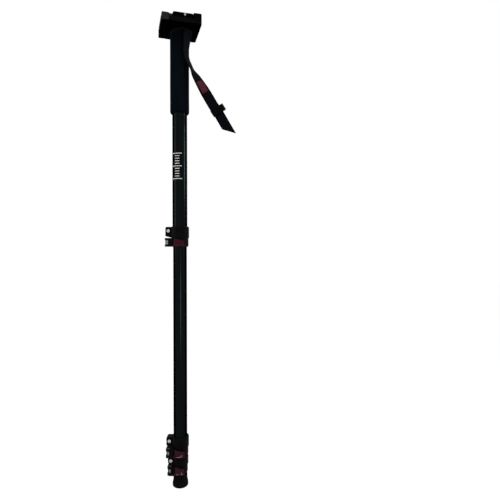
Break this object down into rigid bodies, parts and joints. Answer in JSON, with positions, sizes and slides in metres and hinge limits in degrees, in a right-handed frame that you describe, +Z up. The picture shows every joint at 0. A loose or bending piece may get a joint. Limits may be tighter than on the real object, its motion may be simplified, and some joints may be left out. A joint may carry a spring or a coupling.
{
  "type": "camera monopod",
  "caption": "Telescopic black camera monopod with flip-lever locks, foam grip, wrist strap, rubber foot and a quick-release camera clamp on top.",
  "frame": {"origin": "middle of the rubber foot's flat underside", "axes": "+Z up the pole to the camera screw; the lock levers are on the -Y side, the ears on -X"},
  "size_m": [0.161, 0.0977, 0.9332],
  "materials": {
    "anodised": "satin black anodised",
    "guide_plastic": "natural plastic",
    "collar_black": "satin moulded",
    "lever_black": "glossy moulded",
    "lever_red": "dark wine red",
    "bright_steel": "polished",
    "plain_steel": "zinc plated",
    "rubber": "matte",
    "foam": "matte closed-cell foam",
    "plug_black": "satin moulded",
    "webbing": "woven",
    "clamp_black": "black powder coat",
    "jaw_grey": "black anodised"
  },
  "bodies": {
    "bottom_section": {"bottom_tube": "anodised", "bottom_tube_guide": "guide_plastic", "rubber_foot": "rubber", "foot_washer": "plain_steel", "foot_plug": "plug_black"},
    "third_section": {"third_tube": "anodised", "third_tube_guide": "guide_plastic", "lower_lock_collar": "collar_black", "lower_lock_sleeve": "guide_plastic", "lower_lock_screw": "bright_steel", "lower_lock_nut": "plain_steel", "lower_lock_bolt": "plain_steel", "lower_lock_barrel": "bright_steel"},
    "second_section": {"second_tube": "anodised", "second_tube_guide": "guide_plastic", "middle_lock_collar": "collar_black", "middle_lock_sleeve": "guide_plastic", "middle_lock_screw": "bright_steel", "middle_lock_nut": "plain_steel", "middle_lock_bolt": "plain_steel", "middle_lock_barrel": "bright_steel"},
    "handle": {"upper_tube": "anodised", "upper_lock_collar": "collar_black", "upper_lock_sleeve": "guide_plastic", "upper_lock_screw": "bright_steel", "upper_lock_nut": "plain_steel", "upper_lock_bolt": "plain_steel", "upper_lock_barrel": "bright_steel", "foam_grip": "foam", "top_plug": "plug_black", "strap_collar": "plug_black", "wrist_strap": "webbing", "strap_slider": "plug_black", "head_stud": "plain_steel", "head_washer": "rubber", "clamp_body": "clamp_black", "clamp_pivot": "plain_steel", "draw_bolt": "plain_steel", "guide_pins": "plain_steel", "jaw_springs": "plain_steel"},
    "lower_lever": {"lower_lock_lever": "lever_black", "lower_lock_cover": "lever_red"},
    "middle_lever": {"middle_lock_lever": "lever_black", "middle_lock_cover": "lever_red"},
    "upper_lever": {"upper_lock_lever": "lever_black", "upper_lock_cover": "lever_red"},
    "clamp_lever": {"clamp_lever": "clamp_black"},
    "clamp_jaw": {"clamp_jaw": "jaw_grey"},
    "camera_plate": {"camera_plate": "clamp_black", "plate_pad": "rubber", "plate_stop_screw": "bright_steel"},
    "camera_screw": {"camera_screw": "plain_steel"}
  },
  "joints": [
    {"name": "third_section_slide", "type": "slide", "parent": "bottom_section", "child": "third_section", "axis": [0, 0, 1], "range_m": [0, 0.3755]},
    {"name": "second_section_slide", "type": "slide", "parent": "third_section", "child": "second_section", "axis": [0, 0, 1], "range_m": [0, 0.3755]},
    {"name": "handle_slide", "type": "slide", "parent": "second_section", "child": "handle", "axis": [0, 0, 1], "range_m": [-0.3755, 0]},
    {"name": "lower_lever_turn", "type": "hinge", "parent": "third_section", "child": "lower_lever", "pos_m": [-0.0178, -0.0134, 0.0357], "axis": [0, 0, -1], "range_deg": [0, 150]},
    {"name": "middle_lever_turn", "type": "hinge", "parent": "second_section", "child": "middle_lever", "pos_m": [-0.02075, -0.0134, 0.0702], "axis": [0, 0, -1], "range_deg": [0, 150]},
    {"name": "upper_lever_turn", "type": "hinge", "parent": "handle", "child": "upper_lever", "pos_m": [-0.0219, -0.0134, 0.485], "axis": [0, 0, -1], "range_deg": [0, 150]},
    {"name": "clamp_lever_turn", "type": "hinge", "parent": "handle", "child": "clamp_lever", "pos_m": [-0.0393, 0.00954, 0.9143], "axis": [0, 0, -1], "range_deg": [0, 110]},
    {"name": "jaw_slide", "type": "slide", "parent": "handle", "child": "clamp_jaw", "axis": [-0.9613, -0.2756, 0], "range_m": [0, 0.0015], "deforming": ["jaw_springs"]},
    {"name": "plate_slide", "type": "slide", "parent": "handle", "child": "camera_plate", "axis": [0.2756, -0.9613, 0], "range_m": [0, 0.075]},
    {"name": "camera_screw_turn", "type": "hinge", "parent": "camera_plate", "child": "camera_screw", "pos_m": [0, 0, 0.9278], "axis": [0, 0, 1], "continuous": true}
  ],
  "couplings": [
    {"joint": "clamp_lever_turn", "follows": "jaw_slide", "rad_per_m": 1279}
  ]
}
